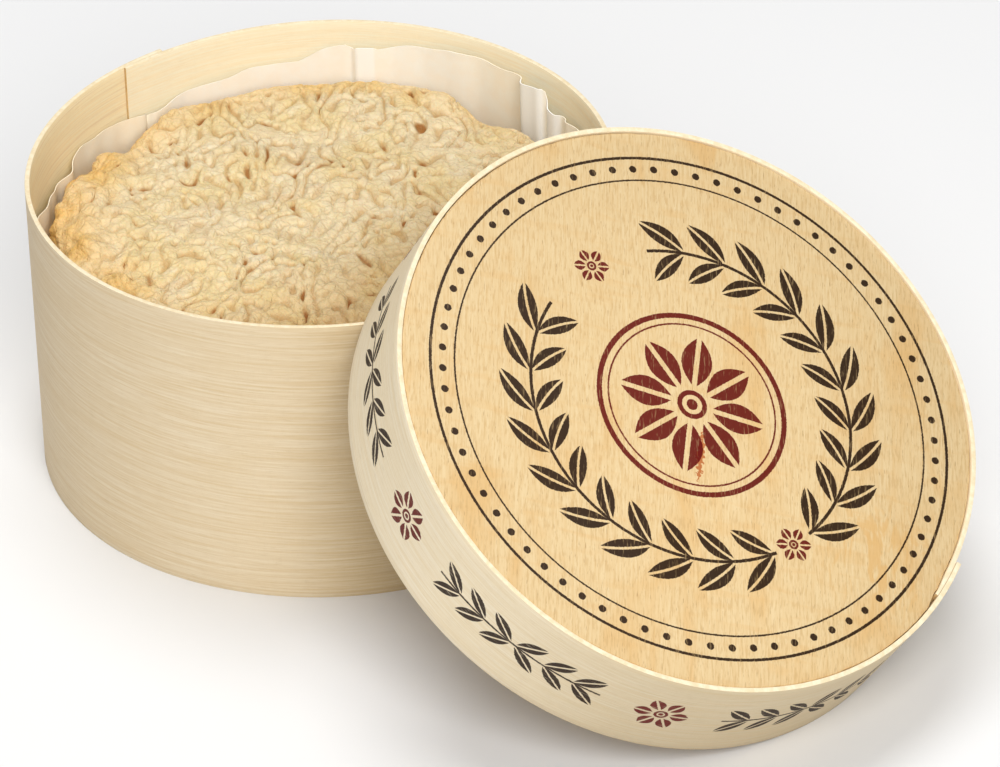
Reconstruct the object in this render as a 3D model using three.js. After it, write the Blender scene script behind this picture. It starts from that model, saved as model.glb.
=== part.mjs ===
// A small washed-rind cheese in its round veneer box, with the lid leaning on the box's rim.
// Millimetres, +Z up. The origin is the middle of the box's underside, on the surface that it
// stands on, and +X runs from the box towards the lid.
import * as THREE from 'three';

// Veneer, and the air between neighbouring pieces
const veneer = 0.85;
const gap = 0.3;

// Box: a veneer strip bent round a thin disc. Angles are in degrees, anticlockwise from above.
const boxRadius = 48;
const boxHeight = 51.6;
const boardThickness = 1.6;
const boxStrip = { radius: boxRadius, innerEnd: 182, turn: -1, overlap: 10, settle: 55 };

// Lid: the same make, wide enough to slip over the box, tilted, with its open edge on the rim
const lidRadius = 49.1;
const lidDepth = 21.1;
const lidReach = 73.7;
const lidLean = 35.3;
const lidStrip = { radius: lidRadius, innerEnd: 20, turn: 1, overlap: 9, settle: 50 };
const discRecess = 0.25;
const discThickness = 1.5;

const bandSteps = 84;
const discWedge = 12;

// Cheese: a low drum with round shoulders, dented where its edge sags
const cheeseRadius = 43.6;
const cheeseTop = 44.5;
const topShoulder = 8;
const footShoulder = 4;
const cheeseDents = [
  { azimuth: 193, halfWidth: 11, depth: 2.6 },
  { azimuth: 161, halfWidth: 6, depth: 1.1 },
  { azimuth: 94, halfWidth: 11, depth: 2.7 },
  { azimuth: 300, halfWidth: 14, depth: 1.2 },
  { azimuth: 20, halfWidth: 12, depth: 1.0 },
];
const topRings = 32;
const sideRings = 5;
const footRings = 2;

// Wrinkles of the rind: winding ridges over slow swells
const ridgePitch = 4.2;
const ridgeHeight = 1.3;
const ridgeCrest = 1.4;
const swellLength = 17;
const swellHeight = 0.3;
const waveCount = 14;

// Paper liner: a pleated cup between the cheese and the wood
const paperThickness = 0.3;
const paperSteps = bandSteps;
const paperCorner = 2;
const paperLevels = [0.08, 0.3, 0.55, 0.75, 0.88, 1];
const paperHighestDrop = 3.4;
const paperLowestDrop = 9.6;
const paperLowestAzimuth = 200;
const paperLowHalfWidth = 75;
const pleatDepth = 1.3;

const radians = THREE.MathUtils.degToRad;

function ease(fraction) {
  const t = THREE.MathUtils.clamp(fraction, 0, 1);
  return t * t * (3 - 2 * t);
}

// Difference of two azimuths, in degrees from -180 to 180
function angleBetween(a, b) {
  return THREE.MathUtils.euclideanModulo(a - b + 180, 360) - 180;
}

// A small seeded generator, so that the wrinkles come out alike each time
function seededDraw(seed) {
  let state = seed;
  return () => {
    state = (state * 16807) % 2147483647;
    return state / 2147483647;
  };
}

function flatMaterial(color, roughness) {
  return new THREE.MeshStandardMaterial({ color, roughness, metalness: 0 });
}

const bandMaterial = flatMaterial(0xe0cda5, 0.75);
const discMaterial = flatMaterial(0xe6c58e, 0.7);
const cheeseMaterial = flatMaterial(0xe8d4ac, 0.65);
const paperMaterial = flatMaterial(0xecd9c2, 0.8);

function namedMesh(name, geometry, material) {
  const mesh = new THREE.Mesh(geometry, material);
  mesh.name = name;
  return mesh;
}

function indexedGeometry(positions, faces) {
  const geometry = new THREE.BufferGeometry();
  geometry.setAttribute('position', new THREE.Float32BufferAttribute(positions, 3));
  geometry.setIndex(faces);
  geometry.computeVertexNormals();
  return geometry;
}

// Outer radius of the strip, "turned" degrees along it from its hidden inner end. It starts one
// veneer further in, works its way out, and ends on top of its own start.
function layerRadius(strip, turned) {
  return strip.radius - veneer * (1 - ease((turned - strip.overlap) / strip.settle));
}

// Radius that a disc or a liner finds inside the strip: it draws in before the inner end's step
function roomRadius(strip, turned) {
  const stepIn = veneer * ease((turned - (360 - discWedge)) / discWedge);
  return layerRadius(strip, turned) - veneer - gap - stepIn;
}

// One turn round the strip, from the step at "start" back to the same azimuth, given anticlockwise
function stripLoop(strip, start, radiusAt) {
  const points = [];
  for (let i = 0; i <= bandSteps; i += 1) {
    const turned = start + (360 * i) / bandSteps;
    const azimuth = radians(strip.innerEnd + strip.turn * turned);
    const radius = radiusAt(strip, turned);
    points.push(new THREE.Vector2(radius * Math.cos(azimuth), radius * Math.sin(azimuth)));
  }
  return strip.turn > 0 ? points : points.reverse();
}

function bandGeometry(strip, height) {
  const section = new THREE.Shape(stripLoop(strip, strip.overlap, layerRadius));
  const inside = stripLoop(strip, 0, (band, turned) => layerRadius(band, turned) - veneer);
  section.holes.push(new THREE.Path(inside));
  return new THREE.ExtrudeGeometry(section, { depth: height, bevelEnabled: false });
}

function discGeometry(strip, thickness) {
  const edge = stripLoop(strip, 0, roomRadius);
  edge.pop();
  const outline = new THREE.Shape(edge);
  return new THREE.ExtrudeGeometry(outline, { depth: thickness, bevelEnabled: false });
}

function box() {
  const group = new THREE.Group();
  group.add(namedMesh('box_band', bandGeometry(boxStrip, boxHeight), bandMaterial));
  group.add(namedMesh('box_bottom', discGeometry(boxStrip, boardThickness), discMaterial));
  return group;
}

// The lid stands on the lowest point of its open edge and leans back against the box
function lid() {
  const group = new THREE.Group();
  group.add(namedMesh('lid_band', bandGeometry(lidStrip, lidDepth), bandMaterial));
  const disc = namedMesh('lid_disc', discGeometry(lidStrip, discThickness), discMaterial);
  disc.position.z = lidDepth - discRecess - discThickness;
  group.add(disc);
  group.rotation.y = radians(lidLean);
  group.position.set(lidReach, 0, lidRadius * Math.sin(radians(lidLean)));
  return group;
}

// A sum of equally long waves in drawn directions, between about -2 and 2
function waveField(seed, wavelength) {
  const draw = seededDraw(seed);
  const waves = [];
  for (let i = 0; i < waveCount; i += 1) {
    const heading = draw() * Math.PI * 2;
    waves.push({
      x: (Math.cos(heading) * Math.PI * 2) / wavelength,
      y: (Math.sin(heading) * Math.PI * 2) / wavelength,
      phase: draw() * Math.PI * 2,
    });
  }
  const scale = Math.sqrt(2 / waveCount);
  return (x, y) => waves.reduce(
    (sum, wave) => sum + scale * Math.cos(wave.x * x + wave.y * y + wave.phase),
    0,
  );
}

const ridgeField = waveField(11, ridgePitch * 2);
const swellField = waveField(23, swellLength);

// Height of the rind over its smooth form: rounded ridges with creases where the field is zero
function rindRelief(x, y) {
  const ridge = Math.sqrt(Math.min(Math.abs(ridgeField(x, y)), ridgeCrest) / ridgeCrest);
  return ridgeHeight * (ridge - 1) + swellHeight * swellField(x, y);
}

function dentAt(azimuth) {
  return cheeseDents.reduce((sum, dent) => {
    const away = angleBetween(azimuth, dent.azimuth) / dent.halfWidth;
    return sum + dent.depth * Math.exp(-away * away);
  }, 0);
}

// The runs of the cheese's half section, from the middle of its top to the edge of its underside
const cheeseFoot = boardThickness + paperThickness + 2 * gap;
const flatRun = cheeseRadius - topShoulder;
const shoulderRun = (topShoulder * Math.PI) / 2;
const wallRun = cheeseTop - topShoulder - cheeseFoot - footShoulder;
const footRun = (footShoulder * Math.PI) / 2;

// Point of the half section after "run" millimetres, with the outward direction there
function cheeseSection(run) {
  if (run <= flatRun) return { r: run, z: cheeseTop, outR: 0, outZ: 1 };
  if (run <= flatRun + shoulderRun) {
    const bend = (run - flatRun) / topShoulder;
    const r = flatRun + topShoulder * Math.sin(bend);
    const z = cheeseTop - topShoulder * (1 - Math.cos(bend));
    return { r, z, outR: Math.sin(bend), outZ: Math.cos(bend) };
  }
  const down = run - flatRun - shoulderRun;
  if (down <= wallRun) {
    return { r: cheeseRadius, z: cheeseTop - topShoulder - down, outR: 1, outZ: 0 };
  }
  const bend = (down - wallRun) / footShoulder;
  const r = cheeseRadius - footShoulder * (1 - Math.cos(bend));
  const z = cheeseFoot + footShoulder * (1 - Math.sin(bend));
  return { r, z, outR: Math.cos(bend), outZ: -Math.sin(bend) };
}

// A point of the wrinkled rind; wrinkles and dents fade out towards the flat underside
function rindPoint(run, turn) {
  const section = cheeseSection(run);
  const edge = ease((section.r / cheeseRadius - 0.55) / 0.4);
  const dent = dentAt(THREE.MathUtils.radToDeg(turn)) * edge;
  const calm = ease((section.z - cheeseFoot) / (footShoulder * 2));
  const out = calm * (rindRelief(run * Math.cos(turn), run * Math.sin(turn)) - dent);
  const r = section.r + section.outR * out;
  return [r * Math.cos(turn), r * Math.sin(turn), section.z + section.outZ * out];
}

// Rings of 6, 12, 18 ... points cover the top evenly; below the shoulder they keep their number
function cheeseGeometry() {
  const positions = rindPoint(0, 0);
  const faces = [];

  function addRing(run, count) {
    const first = positions.length / 3;
    for (let i = 0; i < count; i += 1) {
      positions.push(...rindPoint(run, (i / count) * Math.PI * 2));
    }
    return first;
  }

  let inner = 0;
  let innerCount = 1;
  for (let ring = 1; ring <= topRings; ring += 1) {
    const count = 6 * ring;
    const outer = addRing(((flatRun + shoulderRun) * ring) / topRings, count);
    for (let i = 0; i < count; i += 1) {
      const side = Math.floor(i / ring);
      const along = i % ring;
      const near = inner + ((side * (ring - 1) + along) % innerCount);
      faces.push(outer + i, outer + ((i + 1) % count), near);
      if (along > 0) faces.push(near - 1 < inner ? near - 1 + innerCount : near - 1, outer + i, near);
    }
    inner = outer;
    innerCount = count;
  }
  for (let ring = 1; ring <= sideRings + footRings; ring += 1) {
    const share = Math.min(ring / sideRings, 1);
    const footShare = Math.max(ring - sideRings, 0) / footRings;
    const run = flatRun + shoulderRun + wallRun * share + footRun * footShare;
    const outer = addRing(run, innerCount);
    for (let i = 0; i < innerCount; i += 1) {
      const next = (i + 1) % innerCount;
      faces.push(inner + i, outer + i, outer + next);
      faces.push(inner + i, outer + next, inner + next);
    }
    inner = outer;
  }
  const middle = positions.length / 3;
  positions.push(0, 0, cheeseFoot);
  for (let i = 0; i < innerCount; i += 1) {
    faces.push(inner + i, middle, inner + ((i + 1) % innerCount));
  }
  return indexedGeometry(positions, faces);
}

// How far the paper's edge lies below the box's rim: high at the back, low at the left
function paperDrop(azimuth) {
  const away = Math.abs(angleBetween(azimuth, paperLowestAzimuth));
  const low = ease(1 - away / paperLowHalfWidth);
  const ragged = 0.35 * Math.sin(radians(azimuth * 7)) + 0.25 * Math.sin(radians(azimuth * 13));
  return paperHighestDrop + (paperLowestDrop - paperHighestDrop) * low + ragged;
}

// Share of a pleat's depth at an azimuth, from 0 on the wood to 1 at the fold's crest
function pleatAt(azimuth) {
  const folds = Math.sin(radians(azimuth * 11 + 25)) + 0.6 * Math.sin(radians(azimuth * 17 + 110));
  return THREE.MathUtils.clamp(0.45 + 0.35 * folds, 0, 1);
}

// One face of the liner's cup, as rings of points from its floor's edge up to its top edge
function paperFace(inset) {
  const floor = boardThickness + gap + inset;
  const rings = [];
  for (const level of [0, ...paperLevels]) {
    const ring = [];
    for (let i = 0; i < paperSteps; i += 1) {
      const turned = (360 * (i + 0.5)) / paperSteps;
      const azimuth = boxStrip.innerEnd - turned;
      const pleat = pleatDepth * pleatAt(azimuth) * level * level;
      const corner = level > 0 ? 0 : paperCorner;
      const r = roomRadius(boxStrip, turned) - inset - pleat - corner;
      const z = floor + (boxHeight - paperDrop(azimuth) - floor) * level;
      ring.push([r * Math.cos(radians(azimuth)), r * Math.sin(radians(azimuth)), z]);
    }
    rings.push(ring);
  }
  return rings;
}

function paperGeometry() {
  const rings = [...paperFace(0), ...paperFace(paperThickness).reverse()];
  const positions = rings.flat(2);
  const faces = [];
  for (let j = 0; j < rings.length - 1; j += 1) {
    for (let i = 0; i < paperSteps; i += 1) {
      const low = j * paperSteps + i;
      const lowNext = j * paperSteps + ((i + 1) % paperSteps);
      faces.push(low, low + paperSteps, lowNext + paperSteps);
      faces.push(low, lowNext + paperSteps, lowNext);
    }
  }
  const under = positions.length / 3;
  const floor = boardThickness + gap;
  positions.push(0, 0, floor, 0, 0, floor + paperThickness);
  const last = (rings.length - 1) * paperSteps;
  for (let i = 0; i < paperSteps; i += 1) {
    const next = (i + 1) % paperSteps;
    faces.push(under, i, next);
    faces.push(under + 1, last + next, last + i);
  }
  return indexedGeometry(positions, faces);
}

const boxedCheese = new THREE.Group();
boxedCheese.add(box());
boxedCheese.add(namedMesh('paper_liner', paperGeometry(), paperMaterial));
boxedCheese.add(namedMesh('cheese', cheeseGeometry(), cheeseMaterial));
boxedCheese.add(lid());

export default boxedCheese;
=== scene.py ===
import math

import bmesh
import bpy
import numpy as np
from mathutils import Matrix, Vector


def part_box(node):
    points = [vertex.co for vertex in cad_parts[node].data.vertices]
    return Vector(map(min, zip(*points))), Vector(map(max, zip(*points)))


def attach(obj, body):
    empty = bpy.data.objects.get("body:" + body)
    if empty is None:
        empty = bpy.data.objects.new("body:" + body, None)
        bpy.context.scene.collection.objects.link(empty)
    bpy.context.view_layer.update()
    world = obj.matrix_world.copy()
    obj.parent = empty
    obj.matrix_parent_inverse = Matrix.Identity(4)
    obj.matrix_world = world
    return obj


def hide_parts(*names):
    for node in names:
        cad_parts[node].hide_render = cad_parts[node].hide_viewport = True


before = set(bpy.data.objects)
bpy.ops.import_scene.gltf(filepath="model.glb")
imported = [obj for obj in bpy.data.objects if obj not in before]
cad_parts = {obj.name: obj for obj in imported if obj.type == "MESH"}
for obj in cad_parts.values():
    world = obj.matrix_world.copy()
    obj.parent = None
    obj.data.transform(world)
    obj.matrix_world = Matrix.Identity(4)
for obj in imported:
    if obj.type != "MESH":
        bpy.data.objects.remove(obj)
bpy.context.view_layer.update()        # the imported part: metres, +Z up, the box's axis at the origin
mm = 0.001
print("frame loaded:", ", ".join(sorted(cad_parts)))

boxLow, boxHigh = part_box("box_band")
lidLow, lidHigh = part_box("lid_band")
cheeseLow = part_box("cheese")[0]

# Each band is one veneer strip, bent round until it laps over its own start.
# Angles are in degrees; "turned" runs along the strip from its hidden inner end.
veneer = {
    "pitch": 0.85 * mm, "thickness": 0.80 * mm, "edgeBevel": 0.10 * mm,
    "skive": 0.32 * mm, "skiveOver": 6.0,        # the inner end is thinned over its last degrees
    "tipOver": 5.0,        # and the outer end lifts over these
}

boxBand = {
    "name": "box_band_veneer", "radius": (boxHigh.x - boxLow.x) / 2, "height": boxHigh.z,
    "innerEnd": 182, "turn": -1, "overlap": 10, "settle": 55, "steps": 370, "rows": 26,
    "tipLift": 0.10 * mm, "rimRipple": 0.12 * mm, "wedge": 4.0, "seed": 3,
}
lidBand = {
    "name": "lid_band_veneer", "radius": (lidHigh.y - lidLow.y) / 2, "height": 21.1 * mm,
    "innerEnd": 20, "turn": 1, "overlap": 9, "settle": 50, "steps": 370, "rows": 12,
    "tipLift": 0.04 * mm, "rimRipple": 0.10 * mm, "wedge": 3.5, "seed": 8,
}

lidLean = math.radians(35.3)
lidReach = lidHigh.x - lidBand["radius"] * math.cos(lidLean) - lidBand["height"] * math.sin(lidLean)
lidPlace = (
    Matrix.Translation((lidReach, 0, lidBand["radius"] * math.sin(lidLean)))
    @ Matrix.Rotation(lidLean, 4, "Y")
)
standing = Matrix.Identity(4)


def ease(share):
    held = min(max(share, 0), 1)
    return held * held * (3 - 2 * held)


def paint(red, green, blue):        # an 8-bit screen colour as the shader's linear one
    return tuple((part / 255) ** 2.2 for part in (red, green, blue)) + (1,)


def ripple(seed, turned, count=7):        # a slow closed wave round the strip, about -1 to 1
    draw = np.random.default_rng(seed)
    phases = draw.uniform(0, 2 * math.pi, count)
    sizes = draw.uniform(0.3, 1, count) / np.arange(1, count + 1) ** 0.5
    waves = [size * math.sin(math.radians(turned) * (order + 2) + phase)
             for order, (size, phase) in enumerate(zip(sizes, phases))]
    return sum(waves) / sizes.sum()


def finishMesh(mesh, name, materials, sharpAngle=30):
    for material in materials:
        mesh.materials.append(material)
    mesh.shade_smooth()
    mesh.set_sharp_from_angle(angle=math.radians(sharpAngle))
    piece = bpy.data.objects.new(name, mesh)
    bpy.context.scene.collection.objects.link(piece)
    return piece


def meshOf(model, name, place=standing):
    mesh = bpy.data.meshes.new(name)
    model.to_mesh(mesh)
    model.free()
    mesh.transform(place)
    return mesh


# Shader maths: a Wire is a socket that takes part in Python expressions
class Wire:
    def __init__(self, tree, socket):
        self.tree = tree
        self.socket = socket

    def node(self, kind, settings=None, inputs=None, output=0):
        made = self.tree.nodes.new(kind)
        for name, value in (settings or {}).items():
            setattr(made, name, value)
        for name, value in (inputs or {}).items():
            if isinstance(value, Wire):
                self.tree.links.new(value.socket, made.inputs[name])
            else:
                made.inputs[name].default_value = value
        return Wire(self.tree, made.outputs[output])

    def math(self, operation, *values):
        return self.node("ShaderNodeMath", {"operation": operation}, dict(enumerate(values)))

    def __add__(self, other):
        return self.math("ADD", self, other)

    def __sub__(self, other):
        return self.math("SUBTRACT", self, other)

    def __rsub__(self, other):
        return self.math("SUBTRACT", other, self)

    def __mul__(self, other):
        return self.math("MULTIPLY", self, other)

    def __truediv__(self, other):
        return self.math("DIVIDE", self, other)

    __radd__ = __add__
    __rmul__ = __mul__

    def size(self):
        return self.math("ABSOLUTE", self)

    def either(self, other):        # union of two masks
        return self.math("MAXIMUM", self, other)

    def both(self, other):        # intersection of two masks
        return self.math("MINIMUM", self, other)

    def rise(self, low, high):        # 0 below low, 1 above high, smooth between them
        return self.node("ShaderNodeMapRange", {"interpolation_type": "SMOOTHSTEP"},
                         {"Value": self, "From Min": low, "From Max": high})

    def scaled(self, x, y, z):        # a vector stretched along its axes
        return self.node("ShaderNodeVectorMath", {"operation": "MULTIPLY"}, {0: self, 1: (x, y, z)})

    def moved(self, other):        # a vector plus another
        return self.node("ShaderNodeVectorMath", {"operation": "ADD"}, {0: self, 1: other})

    def place(self):        # the piece's own coordinates, in metres
        return self.node("ShaderNodeTexCoord", None, None, 3)

    def layer(self, name):        # a value that the mesh carries at its vertices
        return self.node("ShaderNodeAttribute", {"attribute_name": name}, None, 2)

    def unwrapped(self, name):        # a UV map, here always in millimetres
        return self.node("ShaderNodeUVMap", {"uv_map": name})

    def part(self, axis):
        return self.node("ShaderNodeSeparateXYZ", None, {"Vector": self}, axis)

    def noise(self, scale, detail=3.0, roughness=0.5, distortion=0.0, output=0):
        return self.node("ShaderNodeTexNoise", None, {
            "Vector": self, "Scale": scale, "Detail": detail,
            "Roughness": roughness, "Distortion": distortion}, output)

    def blend(self, low, high, kind="MIX"):        # a colour from low, where the mask is 0, to high at 1
        return self.node("ShaderNodeMix", {"data_type": "RGBA", "blend_type": kind},
                         {0: self, 6: low, 7: high}, 2)

    def tint(self, colour, share):        # multiplies a colour where the mask is 1
        return self.blend(colour, share + (1,), "MULTIPLY")


def newMaterial(name, roughness=0.6, specular=0.3):
    material = bpy.data.materials.new(name)
    material.use_nodes = True
    tree = material.node_tree
    shader = tree.nodes["Principled BSDF"]
    shader.inputs["Roughness"].default_value = roughness
    shader.inputs["Specular IOR Level"].default_value = specular
    return material, shader, Wire(tree, None)


def feed(shader, socket, wire):
    wire.tree.links.new(wire.socket, shader.inputs[socket])


def bump(shader, height, distance, strength=1.0):
    normal = height.node("ShaderNodeBump", None, {
        "Height": height, "Distance": distance, "Strength": strength})
    feed(shader, "Normal", normal)


# Ornaments of the print, as masks in millimetres
inkSoft = 0.05


def ring(radius, centre, width):
    away = (radius - centre).size()
    return 1 - away.rise(width / 2 - inkSoft, width / 2 + inkSoft)


def disc(x, y, radius):
    reach = x.math("SQRT", x * x + y * y)
    return 1 - reach.rise(radius - inkSoft, radius + inkSoft)


def leaf(x, y, lean, length, halfWidth, vein=0.0):        # a pointed leaf that starts at 0, 0
    cosine = math.cos(math.radians(lean))
    sine = math.sin(math.radians(lean))
    along = x * cosine + y * sine
    across = (y * cosine - x * sine).size()
    middle = (along - length / 2) / (length / 2)
    swell = (1 - middle * middle) * halfWidth
    blade = (swell - across).rise(-inkSoft, inkSoft)
    if vein:
        blade = blade.both(across.rise(vein - inkSoft, vein + inkSoft))
    return blade


def repeated(value, pitch):        # folds a length into -pitch/2 .. pitch/2, again and again
    return value - value.math("FLOOR", value / pitch + 0.5) * pitch


def rosette(x, y, petals, reach, halfWidth, eye):        # petals round a ring and a dot
    radius = x.math("SQRT", x * x + y * y)
    turn = repeated(x.math("ARCTAN2", y, x), 2 * math.pi / petals)
    along = radius * x.math("COSINE", turn)
    across = radius * x.math("SINE", turn)
    flower = leaf(along - eye * 1.5, across, 0, reach - eye * 1.5, halfWidth, 0.16 * halfWidth)
    return flower.either(ring(radius, eye, 0.3 * eye + 0.2)).either(disc(x, y, 0.45 * eye))


def sprig(along, off, pitch, length, halfWidth, stem):        # a stem with pairs of leaves
    cell = repeated(along, pitch)
    side = off.size()
    leaves = leaf(cell + pitch * 0.42, side - stem * 0.3, 38, length, halfWidth, 0.13 * halfWidth)
    stalk = 1 - side.rise(stem / 2 - inkSoft, stem / 2 + inkSoft)
    return leaves.either(stalk)


ink = {
    "brown": paint(40, 20, 5),
    "burgundy": paint(100, 14, 14),
    "wreathRadius": 27.0, "wreathPitch": 7.07, "leafLength": 8.4, "leafHalfWidth": 1.55,
    "stem": 0.55, "firstLeaf": 0.5, "lastLeaf": 10.5,
    "dotRing": 41.6, "dotPitch": 3.63, "dotRadius": 0.62, "dotBorder": 2.0,
    "medallion": 15.6, "petals": 8, "petalReach": 12.4, "petalHalfWidth": 2.6, "eye": 2.1,
}


def lidPrint(x, y):        # masks of the brown and the burgundy ink on the lid's disc
    radius = x.math("SQRT", x * x + y * y)
    angle = x.math("ARCTAN2", y, x)
    run = angle.size() * ink["wreathRadius"]
    off = radius - ink["wreathRadius"]
    leaves = sprig(run, off, ink["wreathPitch"], ink["leafLength"], ink["leafHalfWidth"], ink["stem"])
    firstLeaf = ink["wreathPitch"] * ink["firstLeaf"]
    lastLeaf = ink["wreathPitch"] * ink["lastLeaf"]
    brown = leaves.both(run.rise(firstLeaf, firstLeaf + inkSoft))
    brown = brown.both(1 - run.rise(lastLeaf - inkSoft, lastLeaf))
    dots = disc(repeated(angle * ink["dotRing"], ink["dotPitch"]), radius - ink["dotRing"],
                ink["dotRadius"])
    brown = brown.either(dots)
    brown = brown.either(ring(radius, ink["dotRing"] - ink["dotBorder"], 0.3))
    brown = brown.either(ring(radius, ink["dotRing"] + ink["dotBorder"], 0.5))
    red = rosette(x, y, ink["petals"], ink["petalReach"], ink["petalHalfWidth"], ink["eye"])
    red = red.either(ring(radius, ink["medallion"], 0.9))
    red = red.either(ring(radius, ink["medallion"] - 1.5, 0.3))
    for side in (-1, 1):
        red = red.either(rosette(x - side * ink["wreathRadius"], y, 6, 3.1, 0.85, 0.62))
    return brown, red


bandPrint = {"motifs": 6, "sprigReach": 15.5, "pitch": 5.2, "leafLength": 6.0, "leafHalfWidth": 1.15}


def bandOrnament(along, up, circumference, height):        # the same inks round the lid's band
    period = circumference / bandPrint["motifs"]
    flowerAlong = repeated(along, period)
    off = up - height / 2
    red = rosette(flowerAlong, off, 6, 4.6, 1.25, 0.9)
    sprigAlong = repeated(along - period / 2, period)
    leaves = sprig(sprigAlong.size() + bandPrint["pitch"] * 0.5, off, bandPrint["pitch"],
                   bandPrint["leafLength"], bandPrint["leafHalfWidth"], 0.4)
    inReach = 1 - sprigAlong.size().rise(bandPrint["sprigReach"], bandPrint["sprigReach"] + 0.1)
    return leaves.both(inReach), red


def inked(wood, brown, red, grain):        # ink soaks in unevenly, so some grain shows through
    patchy = 0.97 - 0.25 * grain.rise(0.56, 0.70)
    printed = (brown * patchy).blend(wood, ink["brown"])
    return (red * patchy).blend(printed, ink["burgundy"])


# Each band's palest fibres, its main colour and its darkest threads. Its zone is a stretch of the strip, in
# millimetres along it, where shade is painted into the veneer: from none to all, and the tint says how much.
# It is painted shade from the lid on the box's outside, painted shade on the downward-facing part of the
# lid's band, and a painted warmer shade on one stretch of the box's inside wall.
bandWood = {
    "boxOutside": {"colours": (paint(229, 212, 182), paint(217, 193, 153), paint(196, 169, 128)),
                   "paintedShadeZone": (196, 178), "tint": (0.86, 0.83, 0.75)},
    # painted light: the inside of the box uses a lighter copy of the veneer's colours, standing for light
    # bouncing round inside it
    "boxInsidePaintedLight": {"colours": (paint(254, 247, 222), paint(253, 238, 203), paint(240, 217, 177)),
                  "paintedShadeZone": (225, 282), "tint": (1.0, 0.96, 0.87)},
    "lidOutside": {"colours": (paint(245, 231, 204), paint(236, 216, 178), paint(210, 186, 147)),
                   "paintedShadeZone": (212, 262), "tint": (0.73, 0.71, 0.67)},
    "lidInside": {"colours": (paint(246, 232, 202), paint(238, 218, 180), paint(222, 198, 156))},
}


def bandMaterial(name, printedHeight=0.0, circumference=1.0):
    pale, straw, shade = bandWood[name]["colours"]
    material, shader, start = newMaterial(name, 0.62, 0.25)
    strip = start.unwrapped("strip")
    fibres = strip.scaled(0.055, 2.6, 1).noise(1.0, 5.0, 0.62, 0.35)
    threads = strip.scaled(0.40, 6.5, 1).noise(1.0, 3.0, 0.6)
    chatter = strip.scaled(1.5, 0.45, 1).noise(1.0, 2.0, 0.5)
    lines = strip.scaled(0.035, 3.2, 1).noise(1.0, 3.0, 0.55, 0.5)
    flow = strip.scaled(0.012, 0.11, 1).noise(1.0, 2.0, 0.5, 0.6)
    tone = fibres.rise(0.30, 0.72)
    wood = tone.blend(straw, pale)
    wood = (threads.rise(0.50, 0.74) * 0.38).blend(wood, shade)
    wood = (flow.rise(0.45, 0.75) * 0.35).blend(wood, straw)
    if "paintedShadeZone" in bandWood[name]:
        # painted shade: the veneer is tinted darker along this stretch, and its dark fibre lines are drawn
        # stronger there
        paintedShadeZone = strip.part(0).rise(*bandWood[name]["paintedShadeZone"])
        wood = paintedShadeZone.tint(wood, bandWood[name]["tint"])
        wood = (paintedShadeZone * lines.rise(0.50, 0.64) * 0.7).blend(wood, shade)
    if printedHeight:
        speck = strip.scaled(0.5, 3.0, 1).noise(1.0, 3.0, 0.6)
        warp = strip.scaled(1, 1, 1).noise(2.2, 2.0, 0.5)
        along = strip.part(0) + (warp - 0.5) * 0.25
        up = strip.part(1) + (warp - 0.5) * 0.2
        brown, red = bandOrnament(along, up, circumference, printedHeight)
        wood = inked(wood, brown, red, speck)
    feed(shader, "Base Color", wood)
    feed(shader, "Roughness", 0.55 + fibres * 0.2)
    bump(shader, fibres + threads * 0.6 + chatter * 0.7, 0.08 * mm, 0.7)
    return material


def edgeMaterial(name, low, high):        # a cut edge of the veneer
    material, shader, start = newMaterial(name, 0.7, 0.2)
    place = start.place()
    grain = place.noise(900, 3.0, 0.6)
    feed(shader, "Base Color", grain.rise(0.3, 0.7).blend(low, high))
    bump(shader, grain, 0.05 * mm, 0.5)
    return material


discWood = {
    "tan": paint(222, 191, 140), "honey": paint(219, 174, 110), "pale": paint(229, 203, 156),
    "streak": paint(203, 166, 112), "pore": paint(150, 108, 62), "resin": paint(176, 92, 40),
    "grainTurn": 141.0, "swirl": (36.0, 12.0), "swirlReach": 15.0,
    "paintedShadeSide": (25, -35), "paintedShadeTint": (0.92, 0.92, 0.92),        # painted shade: one side of the disc is tinted darker, leaving the side away from the box paler
}


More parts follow.
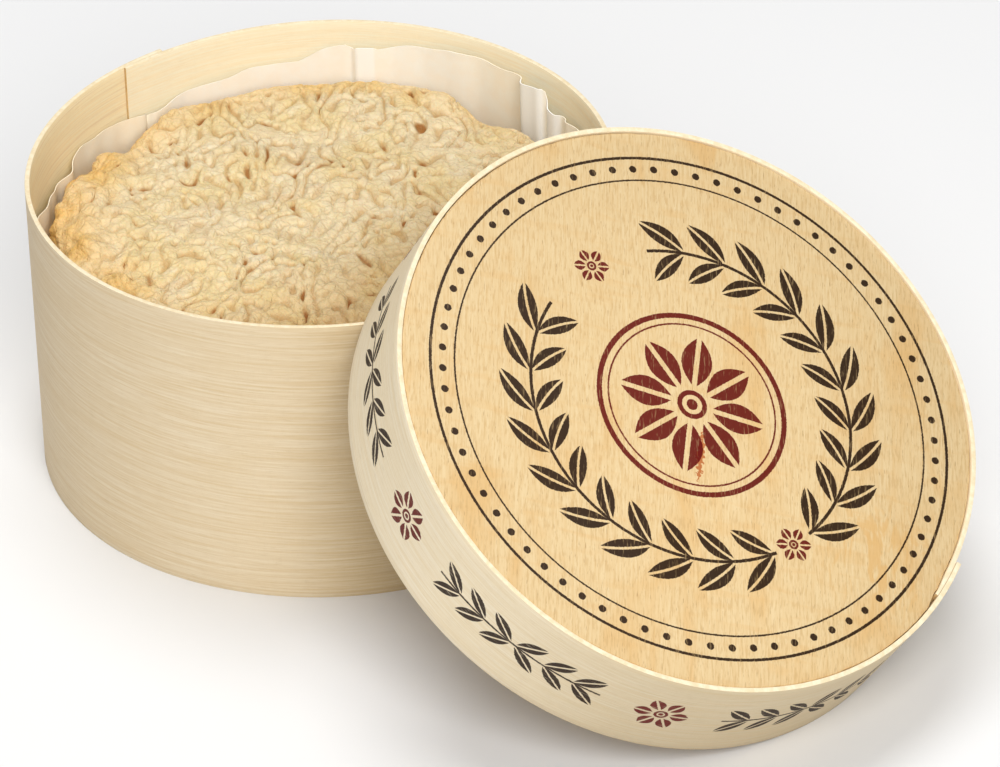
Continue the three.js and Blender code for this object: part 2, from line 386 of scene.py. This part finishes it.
def discMaterial(name, printed):
    material, shader, start = newMaterial(name, 0.5, 0.15)
    face = start.unwrapped("face")
    grainWay = face.node("ShaderNodeMapping", None, {
        "Vector": face, "Rotation": (0, 0, -math.radians(discWood["grainTurn"]))})
    broad = grainWay.scaled(0.030, 0.085, 1).noise(1.0, 3.0, 0.55, 1.2)
    fibres = grainWay.scaled(0.16, 2.4, 1).noise(1.0, 4.0, 0.6, 0.3)
    curl = grainWay.scaled(0.55, 0.10, 1).noise(1.0, 2.0, 0.5, 0.4)
    streaks = grainWay.scaled(0.40, 3.0, 1).noise(1.0, 2.0, 0.6, 0.2)
    pores = grainWay.scaled(0.50, 4.6, 1).noise(1.0, 2.0, 0.55)
    wood = fibres.rise(0.28, 0.72).blend(discWood["tan"], discWood["pale"])
    wood = (broad.rise(0.48, 0.70) * 0.6).blend(wood, discWood["honey"])
    wood = (curl.rise(0.50, 0.75) * 0.3).blend(wood, discWood["honey"])
    wood = (streaks.rise(0.48, 0.66) * 0.55).blend(wood, discWood["streak"])
    wood = (pores.rise(0.63, 0.71) * 0.5).blend(wood, discWood["pore"])
    if printed:
        x = face.part(0)
        y = face.part(1)
        swirlX, swirlY = discWood["swirl"]
        ripples = grainWay.scaled(0.10, 0.28, 1).noise(1.0, 3.0, 0.6, 2.2)
        away = x.math("SQRT", (x - swirlX) * (x - swirlX) + (y - swirlY) * (y - swirlY))
        swirl = away.rise(discWood["swirlReach"], 4) * ripples.rise(0.46, 0.60)
        wood = (swirl * 0.7).blend(wood, discWood["honey"])
        # painted shade darkens one side of the printed disc
        wood = (x * 0.68 + y * 0.73).rise(*discWood["paintedShadeSide"]).tint(wood, discWood["paintedShadeTint"])
        warp = face.noise(1.6, 2.0, 0.5)
        resin = leaf(x - 4.2 + (warp - 0.5) * 1.6, y + 1.0 + (warp - 0.5) * 1.2, -44.5, 9.8, 0.55)
        wood = (resin * 0.85).blend(wood, discWood["resin"])
        rough = face.noise(2.6, 2.0, 0.5)
        shiftedX = x + (rough - 0.5) * 0.22
        shiftedY = y + (face.noise(2.9, 2.0, 0.5) - 0.5) * 0.22
        brown, red = lidPrint(shiftedX, shiftedY)
        wood = inked(wood, brown, red, streaks)
    feed(shader, "Base Color", wood)
    feed(shader, "Roughness", 0.45 + fibres * 0.2)
    bump(shader, fibres + streaks * 0.6, 0.04 * mm, 0.5)
    return material


edgeWood = edgeMaterial("veneerEdge", paint(234, 214, 174), paint(246, 232, 200))
endWood = edgeMaterial("veneerEnd", paint(198, 162, 110), paint(220, 188, 138))
lidTurnLength = 2 * math.pi * lidBand["radius"] / mm
boxOutside = bandMaterial("boxOutside")
# painted light: a lighter copy of the band's veneer for the inside of the box
boxInsidePaintedLight = bandMaterial("boxInsidePaintedLight")
lidOutside = bandMaterial("lidOutside", lidBand["height"] / mm, lidTurnLength)
lidInside = bandMaterial("lidInside")
lidFace = discMaterial("lidDiscPrinted", True)
plainBoard = discMaterial("discBoard", False)
print("wood materials made")


def layerRadius(strip, turned):
    return strip["radius"] - veneer["pitch"] * (1 - ease((turned - strip["overlap"]) / strip["settle"]))


def skived(turned):        # how much thinner the strip's inner end is
    return veneer["skive"] * (1 - ease(turned / veneer["skiveOver"]))


def roomRadius(strip, turned):
    stepIn = (veneer["pitch"] - veneer["skive"]) * ease((turned - (360 - strip["wedge"])) / strip["wedge"])
    return layerRadius(strip, turned) - veneer["pitch"] - stepIn + skived(turned)


def bentStrip(strip, place, materials):
    length = 2 * math.pi * strip["radius"] * (360 + strip["overlap"]) / 360
    model = bmesh.new()
    layer = model.loops.layers.uv.new("strip")
    bmesh.ops.create_grid(model, x_segments=strip["steps"], y_segments=strip["rows"], size=0.5)
    for face in model.faces:
        for loop in face.loops:
            loop[layer].uv = ((loop.vert.co.x + 0.5) * length / mm,
                              (loop.vert.co.y + 0.5) * strip["height"] / mm)
    for vert in model.verts:        # the flat strip at its real size
        vert.co.x = (vert.co.x + 0.5) * length
        vert.co.y = (vert.co.y + 0.5) * strip["height"]
    bmesh.ops.solidify(model, geom=model.faces[:], thickness=-veneer["thickness"])
    bmesh.ops.recalc_face_normals(model, faces=model.faces[:])
    corners = [edge for edge in model.edges if edge.calc_face_angle(0) > 1]
    bmesh.ops.bevel(model, geom=corners, offset=veneer["edgeBevel"], affect="EDGES",
                    segments=2, profile=0.5, material=-1)
    depths = [vert.co.z for vert in model.verts]
    outer = max(depths)
    for face in model.faces:
        if abs(face.normal.z) > 0.9:
            face.material_index = 0 if face.normal.z > 0 else 1
        else:
            face.material_index = 3 if face.normal.x < -0.9 else 2
    for vert in model.verts:        # bent round
        turned = vert.co.x / length * (360 + strip["overlap"])
        tip = max(0, 1 - (360 + strip["overlap"] - turned) / veneer["tipOver"])
        inwards = (outer - vert.co.z) / veneer["thickness"]
        radius = (layerRadius(strip, turned) + vert.co.z - outer + inwards * skived(turned)
                  + strip["tipLift"] * tip * tip)
        up = vert.co.y + strip["rimRipple"] * ripple(strip["seed"], turned) * vert.co.y / strip["height"]
        azimuth = math.radians(strip["innerEnd"] + strip["turn"] * turned)
        vert.co = (radius * math.cos(azimuth), radius * math.sin(azimuth), up)
    bmesh.ops.recalc_face_normals(model, faces=model.faces[:])
    return finishMesh(meshOf(model, strip["name"], place), strip["name"], materials)


boxBandPiece = bentStrip(boxBand, standing, [boxOutside, boxInsidePaintedLight, edgeWood, endWood])
lidBandPiece = bentStrip(lidBand, lidPlace, [lidOutside, lidInside, edgeWood, endWood])
print("bands bent")

boxBottom = {"name": "box_bottom_board", "strip": boxBand, "low": 0.0, "thickness": 1.6 * mm, "seed": 21}
lidDisc = {"name": "lid_disc_board", "strip": lidBand, "low": 19.35 * mm, "thickness": 1.5 * mm, "seed": 34}
discCut = {"segments": 900, "clearance": 0.06 * mm, "ragged": 0.09 * mm, "bevel": 0.10 * mm}


def sawnDisc(board, place, materials):
    draw = np.random.default_rng(board["seed"])
    nicks = np.abs(draw.standard_normal(discCut["segments"]))
    nicks = (nicks + np.roll(nicks, 1) + np.roll(nicks, 2)) / 3
    model = bmesh.new()
    layer = model.loops.layers.uv.new("face")
    bmesh.ops.create_circle(model, cap_ends=True, segments=discCut["segments"], radius=1)
    strip = board["strip"]
    for index, vert in enumerate(model.verts):
        azimuth = math.degrees(math.atan2(vert.co.y, vert.co.x))
        turned = (azimuth - strip["innerEnd"]) * strip["turn"] % 360
        radius = roomRadius(strip, turned) - discCut["clearance"] - discCut["ragged"] * nicks[index]
        vert.co = vert.co.normalized() * radius
        vert.co.z = board["low"]
    grown = bmesh.ops.extrude_face_region(model, geom=model.faces[:])
    risen = [item for item in grown["geom"] if isinstance(item, bmesh.types.BMVert)]
    bmesh.ops.translate(model, verts=risen, vec=(0, 0, board["thickness"]))
    bmesh.ops.recalc_face_normals(model, faces=model.faces[:])
    corners = [edge for edge in model.edges
               if abs(edge.verts[0].co.z - edge.verts[1].co.z) < 1e-6 and edge.calc_face_angle(0) > 1]
    bmesh.ops.bevel(model, geom=corners, offset=discCut["bevel"], affect="EDGES",
                    segments=1, profile=0.5, material=-1)
    for face in model.faces:
        face.material_index = 0 if face.normal.z > 0.9 else 1
        for loop in face.loops:
            loop[layer].uv = (loop.vert.co.x / mm, loop.vert.co.y / mm)
    return finishMesh(meshOf(model, board["name"], place), board["name"], materials, 50)


boxBottomPiece = sawnDisc(boxBottom, standing, [plainBoard, plainBoard])
lidDiscPiece = sawnDisc(lidDisc, lidPlace, [lidFace, plainBoard])
print("discs cut")

# Paper liner: a pleated cup between the cheese and the wood. Heights are measured down from the
# box's rim at azimuths all the way round. A fold pushes the sheet inwards: its azimuth, its reach
# to larger and to smaller azimuths, its depth and how square it is.
paper = {
    "name": "paper_liner_sheet", "thickness": 0.14 * mm, "floor": 2.0 * mm, "corner": 2.2 * mm,
    "air": 0.12 * mm, "crinkle": 0.45 * mm, "edgeWaves": [(23, 0.12, 0), (41, 0.10, 1)],
    "columns": 720, "rows": 60, "floorShare": 0.2, "seed": 17,
    "drops": [(0, 3.6), (60, 4.4), (70, 5.6), (77.5, 6.0), (83.3, 5.2), (84.2, 2.7), (86, 2.8),
              (91, 3.4), (97, 3.2), (107, 2.7), (114, 3.1), (120, 3.7), (126, 4.5), (127, 4.2),
              (130.5, 4.1), (131.2, 4.6), (133, 4.0), (138, 5.1), (143, 6.8), (152, 7.0),
              (160, 7.6), (168, 8.2), (174, 8.9), (177.2, 9.0), (178.0, 9.9), (179.0, 9.3), (184, 9.1),
              (198, 9.0), (212, 10.2), (240, 8.0), (290, 6.0), (330, 4.4), (360, 3.6)],
    "folds": [(177.2, 0.4, 6.0, 1.4, 2), (179.2, 4.5, 0.4, 0.9, 2), (206, 3.5, 3.5, 1.7, 2),
              (214, 3.0, 3.0, 0.8, 2), (160, 5, 5, 0.6, 2), (130.6, 0.6, 5.0, 1.0, 2), (108, 4, 4, 0.5, 2),
              (87.6, 3.6, 3.4, 1.5, 8), (80.6, 2.4, 1.6, 1.1, 4), (75.5, 1.2, 2.4, 0.9, 2),
              (60, 5, 5, 0.9, 2), (30, 4, 4, 1.0, 2), (-12, 5, 5, 0.9, 2), (-40, 4, 4, 1.2, 2),
              (-75, 6, 6, 0.8, 2), (-110, 4, 4, 1.1, 2), (-140, 4, 4, 0.9, 2)],
    "flaps": [(128.8, 2.0), (87.6, 3.5), (81.2, 2.4)],        # where the sheet is doubled and whiter
    "paintedShadeSpan": (170, 240),        # painted shade: between these azimuths the sheet is tinted darker and yellower
}


def paperMaterial():
    material, shader, start = newMaterial("linerPaper", 0.55, 0.3)
    place = start.place()
    mottle = place.noise(260, 4.0, 0.6)
    fine = place.noise(1800, 2.0, 0.5)
    doubled = start.layer("doubled")
    paintedWarmShade = start.layer("paintedWarmShade")
    colour = mottle.rise(0.3, 0.7).blend(paint(255, 248, 235), paint(255, 253, 245))
    colour = doubled.blend(colour, paint(255, 255, 252))
    # painted shade on the sides of the sheet
    colour = paintedWarmShade.tint(colour, (1.0, 0.95, 0.84))
    feed(shader, "Base Color", colour)
    bump(shader, mottle + fine * 0.2, 0.12 * mm, 0.5)
    return material


def linerSheet():
    draw = np.random.default_rng(paper["seed"])
    waves = [(order, draw.uniform(0, 2 * math.pi), draw.uniform(0.4, 1)) for order in range(9, 60, 5)]
    dropAt = [azimuth for azimuth, drop in paper["drops"]]
    dropBy = [drop * mm for azimuth, drop in paper["drops"]]
    model = bmesh.new()
    bmesh.ops.create_grid(model, x_segments=paper["columns"], y_segments=paper["rows"], size=0.5)
    doubled = model.verts.layers.float.new("doubled")
    paintedWarmShade = model.verts.layers.float.new("paintedWarmShade")
    paintedShadeFrom, paintedShadeTo = paper["paintedShadeSpan"]
    floorShare = paper["floorShare"]
    for vert in model.verts:
        azimuth = (vert.co.x + 0.5) * 360
        level = vert.co.y + 0.5
        turned = (azimuth - boxBand["innerEnd"]) * boxBand["turn"] % 360
        room = roomRadius(boxBand, turned) - paper["air"]
        angle = math.radians(azimuth)
        if level < floorShare:
            radius = (room - paper["corner"]) * level / floorShare
            height = paper["floor"]
        else:
            wall = (level - floorShare) / (1 - floorShare)
            crease = 0.0
            for fold, reachUp, reachDown, depth, squareness in paper["folds"]:
                away = (azimuth - fold + 180) % 360 - 180
                away = abs(away) / (reachUp if away > 0 else reachDown)
                crease += depth * mm * math.exp(-away ** squareness)
            crinkle = sum(size * math.sin(order * angle + phase + wall * 2.5)
                          for order, phase, size in waves) / len(waves)
            radius = room - (crease + paper["crinkle"] * (1 + crinkle)) * ease(wall * 1.15) ** 2
            radius -= paper["corner"] * (1 - ease(wall * 14))
            drop = float(np.interp(azimuth % 360, dropAt, dropBy))
            drop += sum(size * mm * math.sin(order * angle + phase)
                        for order, size, phase in paper["edgeWaves"])
            vert[doubled] = max(ease((halfWidth - abs(azimuth - flap)) / 0.6 + 0.5)
                                for flap, halfWidth in paper["flaps"])
            # painted shade: the sheet's sides, between the listed azimuths and below 112 degrees, are tinted
            # darker and yellower, and the doubled flaps there stay bright
            vert[paintedWarmShade] = max(ease((azimuth - paintedShadeFrom) / 12) * ease((paintedShadeTo - azimuth) / 12),
                              0.7 * ease((112 - azimuth) / 16) * (1 - vert[doubled]))
            height = paper["floor"] + (boxBand["height"] - drop - paper["floor"]) * wall
        vert.co = (radius * math.cos(angle), radius * math.sin(angle), height)
    bmesh.ops.remove_doubles(model, verts=model.verts[:], dist=0.002 * mm)
    bmesh.ops.solidify(model, geom=model.faces[:], thickness=paper["thickness"])
    bmesh.ops.recalc_face_normals(model, faces=model.faces[:])
    return finishMesh(meshOf(model, paper["name"]), paper["name"], [paperMaterial()], 60)


linerPiece = linerSheet()
print("paper folded")

# Cheese: a drum whose skin is laid out flat, wrinkled by a grown pattern, and wrapped round it.
# "run" is the way over the skin from the middle of the top, in millimetres.
cheese = {
    "name": "cheese_rind", "radius": 43.6, "top": 44.7, "foot": cheeseLow.z / mm,
    "topShoulder": 6.0, "footShoulder": 4.0, "cells": 294, "sideRows": 7, "seed": 5,
    "dents": [(190, 7.5, 2.4), (211.5, 8, -0.5), (161, 6, 0.5), (126, 10, -0.6), (96, 9, 2.5),
              (300, 14, 1.2), (20, 12, 1.0)],
    "wormPitch": 2.05, "bead": 2.2, "beadShare": 0.35, "creaseDepth": 0.75, "pitDepth": 0.25,
    "lumpHeight": 0.15, "middleHeight": 0.09, "swellHeight": 0.30, "fineHeight": 0.035,
    "stretch": 1.9, "stretchAzimuth": 137.5,        # the ridges are longer this way
    "grooveShare": 0.83, "softening": 0.24,        # where grooves reach their floor, and their blur
    # The second of these settings paints shade from the lid: the rind darkens towards azimuth 0, where the
    # lid leans over it.
    "calm": (227.5, 20.0, 16.0), "paintedLidShade": (0.0, 3.0, 26.0),        # azimuth, where it starts, over
    "rimCalm": (37.0, 5.0), "orangeRim": (31.0, 10.0), "orangeAzimuth": 205.0,
}
rindMap = {"cells": 1024, "side": 104.0}
flatRun = cheese["radius"] - cheese["topShoulder"]
shoulderRun = cheese["topShoulder"] * math.pi / 2
wallRun = cheese["top"] - cheese["topShoulder"] - cheese["foot"] - cheese["footShoulder"]
footRun = cheese["footShoulder"] * math.pi / 2
topRun = flatRun + shoulderRun

cellSide = rindMap["side"] / rindMap["cells"]
cellFrequency = np.fft.fftfreq(rindMap["cells"], cellSide)
frequency = np.hypot(cellFrequency[:, None], cellFrequency[None, :])


def softened(field, length):        # keeps waves longer than length, in millimetres
    return np.fft.ifft2(np.fft.fft2(field) * np.exp(-(frequency * length) ** 2)).real


def spread(field):
    return (field - field.mean()) / field.std()


def clouds(draw, length):
    return spread(softened(draw.standard_normal(frequency.shape), length))


def grownWorms(draw, length, bias, rounds, width, gain):        # winding ridges of one width
    field = draw.standard_normal(frequency.shape)
    keep = np.exp(-((frequency * length - 1) / width) ** 2)
    for _ in range(rounds):
        field = np.fft.ifft2(np.fft.fft2(field) * keep).real
        field = np.tanh(gain * (field / field.std() + bias))
    return field


def sampled(field, x, y):        # the map repeats, so the cheese's wall can read it too
    count = rindMap["cells"]
    column = (x / cellSide + count / 2) % count
    row = (y / cellSide + count / 2) % count
    left = np.floor(column).astype(int)
    low = np.floor(row).astype(int)
    shareX = column - left
    shareY = row - low
    left %= count
    low %= count
    right = (left + 1) % count
    high = (low + 1) % count
    lower = field[low, left] * (1 - shareX) + field[low, right] * shareX
    upper = field[high, left] * (1 - shareX) + field[high, right] * shareX
    return lower * (1 - shareY) + upper * shareY


def cellGaps(draw, x, y, across):        # from nearest to second nearest of scattered seeds
    count = round(rindMap["side"] / across)
    seedX = draw.uniform(-0.42, 0.42, (count, count)) + 0.5
    seedY = draw.uniform(-0.42, 0.42, (count, count)) + 0.5
    column = x * count / rindMap["side"]
    row = y * count / rindMap["side"]
    left = np.floor(column).astype(int)
    low = np.floor(row).astype(int)
    nearest = np.full(x.shape, 9.0)
    second = nearest.copy()
    for stepY in range(-1, 2):
        for stepX in range(-1, 2):
            seedColumn = (left + stepX) % count
            seedRow = (low + stepY) % count
            away = np.hypot(left + stepX + seedX[seedRow, seedColumn] - column,
                            low + stepY + seedY[seedRow, seedColumn] - row)
            second = np.minimum(second, np.maximum(nearest, away))
            nearest = np.minimum(nearest, away)
    return second - nearest


def rindFields():
    draw = np.random.default_rng(cheese["seed"])
    pitch = cheese["wormPitch"]
    worms = grownWorms(draw, pitch, 0.03 * clouds(draw, 12), 6, 0.6, 1.3)
    worms = softened(worms, pitch * 0.5)
    worms -= worms.mean()
    strength = np.sqrt(softened(worms * worms, pitch * 1.5)) * 1.35
    away = np.arccos(np.clip(worms / strength, -1, 1)) / math.pi        # 0 on a ridge, 1 in a groove
    away = np.clip(away / np.quantile(away, cheese["grooveShare"]), 0, 1)
    groove = 1 - np.sqrt(1 - away * away)
    groove *= np.clip(0.9 + 0.15 * clouds(draw, 5), 0.4, 1.15)
    side = (np.arange(rindMap["cells"]) + 0.5) * cellSide
    x, y = np.meshgrid(side, side)
    x = x + 0.35 * clouds(draw, 3)
    y = y + 0.35 * clouds(draw, 3)
    gap = np.clip(cellGaps(draw, 2 * x, y, cheese["bead"]) / 0.5, 0, 1)
    notch = 1 - np.sqrt(1 - (1 - gap) ** 2)
    notch *= cheese["beadShare"] * np.clip(0.75 + 0.3 * clouds(draw, 4), 0, 1.1)
    dip = softened(np.maximum(groove, notch), cheese["softening"])
    knot = softened(dip, 1.2)
    low, high = np.quantile(knot, (0.93, 0.98))
    pit = dip * smoothStep((knot - low) / (high - low)) * smoothStep((clouds(draw, 2.4) + 0.3) / 0.6)
    return {
        "dip": dip,
        "pit": softened(pit, 1.0),
        "lump": clouds(draw, 6),
        "middle": clouds(draw, 3.2),
        "swell": clouds(draw, 20),
        "fine": clouds(draw, 1.6),
        "shiftX": clouds(draw, 5),
        "shiftY": clouds(draw, 5),
    }


def smoothStep(values):
    held = np.clip(values, 0, 1)
    return held * held * (3 - 2 * held)


def sideShare(x, y, azimuth, start, over):        # grows from 0 to 1 towards one side
    way = math.radians(azimuth)
    return smoothStep((x * math.cos(way) + y * math.sin(way) - start) / over)


def rimShare(run, start, over):        # grows from 0 to 1 towards the rim
    return smoothStep((run - start) / over)


def sectionAt(run):        # half section: radius, height and outward direction after "run" mm
    shoulder = np.clip((run - flatRun) / cheese["topShoulder"], 0, math.pi / 2)
    foot = np.clip((run - topRun - wallRun) / cheese["footShoulder"], 0, math.pi / 2)
    down = np.clip(run - topRun, 0, wallRun)
    radius = (np.minimum(run, flatRun) + cheese["topShoulder"] * np.sin(shoulder)
              - cheese["footShoulder"] * (1 - np.cos(foot)))
    height = (cheese["top"] - cheese["topShoulder"] * (1 - np.cos(shoulder)) - down
              - cheese["footShoulder"] * np.sin(foot))
    out = np.sin(shoulder) * np.cos(foot)
    up = np.cos(shoulder) - np.sin(foot)
    return radius, height, out, up


def cheeseSkin():
    model = bmesh.new()
    bmesh.ops.create_grid(model, x_segments=cheese["cells"], y_segments=cheese["cells"], size=1)
    for vert in model.verts:        # the square grid drawn into a round one
        x, y = vert.co.x, vert.co.y
        reach = max(abs(x), abs(y))
        if reach > 1e-9:
            turn = math.pi / 4 * y / x if abs(x) >= abs(y) else math.pi / 2 - math.pi / 4 * x / y
            if abs(x) >= abs(y) and x < 0 or abs(x) < abs(y) and y < 0:
                turn += math.pi
            vert.co = (reach * topRun * math.cos(turn), reach * topRun * math.sin(turn), 0)
    rim = [edge for edge in model.edges if edge.is_boundary]
    reach = topRun
    for row in range(1, cheese["sideRows"] + 1):        # rows of the wall and the foot, laid flat
        nextReach = topRun + (wallRun + footRun) * row / cheese["sideRows"]
        grown = bmesh.ops.extrude_edge_only(model, edges=rim)
        rim = [item for item in grown["geom"] if isinstance(item, bmesh.types.BMEdge)]
        verts = [item for item in grown["geom"] if isinstance(item, bmesh.types.BMVert)]
        bmesh.ops.scale(model, verts=verts, vec=(nextReach / reach, nextReach / reach, 1))
        reach = nextReach
    bmesh.ops.contextual_create(model, geom=rim)
    return meshOf(model, cheese["name"])


def wrinkledCheese(material):
    mesh = cheeseSkin()
    flat = np.empty(len(mesh.vertices) * 3, np.float32)
    mesh.vertices.foreach_get("co", flat)
    x, y, _ = flat.reshape(-1, 3).T.astype(float)
    run = np.hypot(x, y)
    turn = np.arctan2(y, x)
    radius, height, out, up = sectionAt(run)
    fields = rindFields()
    lengthways = math.radians(cheese["stretchAzimuth"])
    deep = (x * math.cos(lengthways) + y * math.sin(lengthways)) / cheese["stretch"]
    across = y * math.cos(lengthways) - x * math.sin(lengthways)
    bentX = deep + 0.6 * sampled(fields["shiftX"], deep, across)
    bentY = across + 0.6 * sampled(fields["shiftY"], deep, across)
    calmer = sideShare(x, y, *cheese["calm"])
    # painted shade from the lid, carried on the mesh
    paintedLidShade = sideShare(x, y, *cheese["paintedLidShade"])
    depth = (1 - 0.25 * calmer) * (1 - 0.45 * rimShare(run, *cheese["rimCalm"]))
    dip = sampled(fields["dip"], bentX, bentY) * depth
    pit = sampled(fields["pit"], bentX, bentY)
    relief = (cheese["lumpHeight"] * (1 + 1.6 * calmer) * sampled(fields["lump"], x, y)
              + cheese["middleHeight"] * (0.6 + 1.4 * calmer) * sampled(fields["middle"], x, y)
              + cheese["swellHeight"] * sampled(fields["swell"], x, y)
              + cheese["fineHeight"] * sampled(fields["fine"], x, y)
              - cheese["creaseDepth"] * dip - cheese["pitDepth"] * pit)
    dent = np.zeros(len(x))
    for azimuth, halfWidth, sag in cheese["dents"]:
        away = ((np.degrees(turn) - azimuth + 180) % 360 - 180) / halfWidth
        dent += sag * np.exp(-away * away)
    dent *= smoothStep((radius / cheese["radius"] - 0.55) / 0.4)
    calm = smoothStep((height - cheese["foot"]) / (cheese["footShoulder"] * 2))
    moved = calm * (relief - dent)
    radius = radius + out * moved
    height = height + up * moved
    places = np.stack([radius * np.cos(turn), radius * np.sin(turn), height], 1) * mm
    mesh.vertices.foreach_set("co", places.astype(np.float32).ravel())
    towards = np.cos(turn - math.radians(cheese["orangeAzimuth"]))
    edge = rimShare(run, *cheese["orangeRim"]) * (0.68 + 0.52 * towards)
    for name, values in (("crease", dip), ("pit", pit), ("edge", edge), ("paintedLidShade", paintedLidShade)):
        mesh.attributes.new(name, "FLOAT", "POINT").data.foreach_set("value", values.astype(np.float32))
    mesh.update()
    return finishMesh(mesh, cheese["name"], [material], 180)


# The crease and pit colours are partly the rind's own browner colour in its hollows, partly painted shade in
# them.
rind = {
    "cream": paint(234, 214, 172), "yellow": paint(231, 206, 148), "orange": paint(229, 186, 112),
    "pink": paint(212, 184, 150), "crease": paint(190, 148, 90), "bloom": paint(240, 226, 194),
    # the last tint is painted shade from the lid
    "pit": paint(160, 106, 50), "paintedLidShade": (0.79, 0.70, 0.56),
}


def rindMaterial():
    material, shader, start = newMaterial("wrinkledRind", 0.5, 0.35)
    shader.inputs["Subsurface Weight"].default_value = 0.2
    shader.inputs["Subsurface Radius"].default_value = (1.0, 0.6, 0.35)
    shader.inputs["Subsurface Scale"].default_value = 0.7 * mm
    place = start.place()
    crease = start.layer("crease")
    pit = start.layer("pit")
    edge = start.layer("edge")
    paintedLidShade = start.layer("paintedLidShade")
    cloud = place.noise(90, 3.0, 0.55)
    blotch = place.noise(260, 3.0, 0.6)
    fine = place.noise(1900, 3.0, 0.6)
    shift = 1.6 * mm
    bent = place.moved(place.noise(500, 2.0, 0.5, output=1).scaled(shift, shift, shift))
    crinkle = bent.node("ShaderNodeTexVoronoi", {"feature": "DISTANCE_TO_EDGE"}, {
        "Vector": bent, "Scale": 560})
    seam = 1 - crinkle.rise(0.0, 0.16)
    colour = (cloud.rise(0.42, 0.62) * 0.7).blend(rind["cream"], rind["yellow"])
    colour = (blotch.rise(0.52, 0.70) * 0.35).blend(colour, rind["pink"])
    colour = (blotch.rise(0.46, 0.30) * 0.5).blend(colour, rind["bloom"])
    colour = (edge * (0.45 + cloud.rise(0.38, 0.62) * 0.5)).blend(colour, rind["orange"])
    # partly the rind's own browner colour in its grooves, seams and pits, partly painted shade in them
    colour = (crease.rise(0.35, 1.0) * 0.65).blend(colour, rind["crease"])
    colour = (seam * 0.20).blend(colour, rind["crease"])
    colour = (pit.rise(0.15, 0.60) * crease.rise(0.55, 0.95)).blend(colour, rind["pit"])
    colour = (fine.rise(0.50, 0.66) * 0.35).tint(colour, (0.90, 0.86, 0.78))
    # painted shade from the lid darkens the rind on that side
    colour = paintedLidShade.tint(colour, rind["paintedLidShade"])
    feed(shader, "Base Color", colour)
    feed(shader, "Roughness", 0.42 + fine * 0.22)
    bump(shader, fine + blotch * 0.3 - seam * 0.25, 0.45 * mm, 0.8)
    return material


cheesePiece = wrinkledCheese(rindMaterial())
print("cheese wrinkled")

for piece, node, slot in (
    (boxBandPiece, "box_band", "band_veneer"),
    (boxBottomPiece, "box_bottom", "disc_veneer"),
    (linerPiece, "paper_liner", "paper"),
    (cheesePiece, "cheese", "rind"),
    (lidBandPiece, "lid_band", "band_veneer"),
    (lidDiscPiece, "lid_disc", "disc_veneer"),
):
    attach(piece, "root")
    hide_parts(node)

# Photo's viewpoint, worked out from the two rims of the box and of the lid
view = {"azimuth": 47.54, "elevation": 33.39, "roll": -1.6, "distance": 1.056, "lens": 228.7,
        "aim": (19.07 * mm, 20.85 * mm, 8.57 * mm)}


def placeCamera():
    camera = bpy.data.objects.new("camera", bpy.data.cameras.new("camera"))
    bpy.context.scene.collection.objects.link(camera)
    camera.data.lens = view["lens"]
    camera.data.sensor_width = 36
    camera.data.clip_start = 0.01
    turn = (Matrix.Rotation(math.radians(view["azimuth"]), 4, "Z")
            @ Matrix.Rotation(math.radians(90 - view["elevation"]), 4, "X"))
    back = turn @ Vector((0, 0, view["distance"]))
    roll = Matrix.Rotation(math.radians(view["roll"]), 4, "Z")
    camera.matrix_world = Matrix.Translation(Vector(view["aim"]) + back) @ turn @ roll
    bpy.context.scene.camera = camera


lightAim = Vector((0.03, 0, 0.03))
lights = {        # degrees left of the camera, degrees above the table, metres and watts
    "frontSoftbox": {"left": -8, "elevation": 40, "distance": 1.6, "size": 1.1, "watts": 20},
    "topSoftbox": {"left": 160, "elevation": 74, "distance": 1.6, "size": 1.0, "watts": 13},
}


def softbox(name, setting):
    light = bpy.data.lights.new(name, "AREA")
    light.shape = "DISK"
    light.size = setting["size"]
    light.energy = setting["watts"]
    lamp = bpy.data.objects.new(name, light)
    bpy.context.scene.collection.objects.link(lamp)
    turn = math.radians(view["azimuth"] - setting["left"])
    rise = math.radians(setting["elevation"])
    away = Vector((math.sin(turn) * math.cos(rise), -math.cos(turn) * math.cos(rise), math.sin(rise)))
    lamp.location = lightAim + away * setting["distance"]
    lamp.rotation_euler = away.to_track_quat("Z", "Y").to_euler()


surroundings = {"floorHalfSide": 3, "floorGrey": (0.85, 0.85, 0.85, 1), "below": 0.02 * mm, "skyLight": 0.25}


def studio():
    model = bmesh.new()
    bmesh.ops.create_grid(model, x_segments=1, y_segments=1, size=surroundings["floorHalfSide"])
    mesh = meshOf(model, "floor", Matrix.Translation((0, 0, -surroundings["below"])))
    material, shader, _ = newMaterial("paleFloor", 0.9, 0.1)
    shader.inputs["Base Color"].default_value = surroundings["floorGrey"]
    floor = finishMesh(mesh, "floor", [material])
    for name, setting in lights.items():
        softbox(name, setting)
    world = bpy.data.worlds.new("studio")
    world.use_nodes = True
    world.node_tree.nodes["Background"].inputs["Color"].default_value = (1, 1, 1, 1)
    world.node_tree.nodes["Background"].inputs["Strength"].default_value = surroundings["skyLight"]
    bpy.context.scene.world = world
    bpy.context.scene.view_settings.view_transform = "Standard"


placeCamera()
studio()
print("camera and light placed")
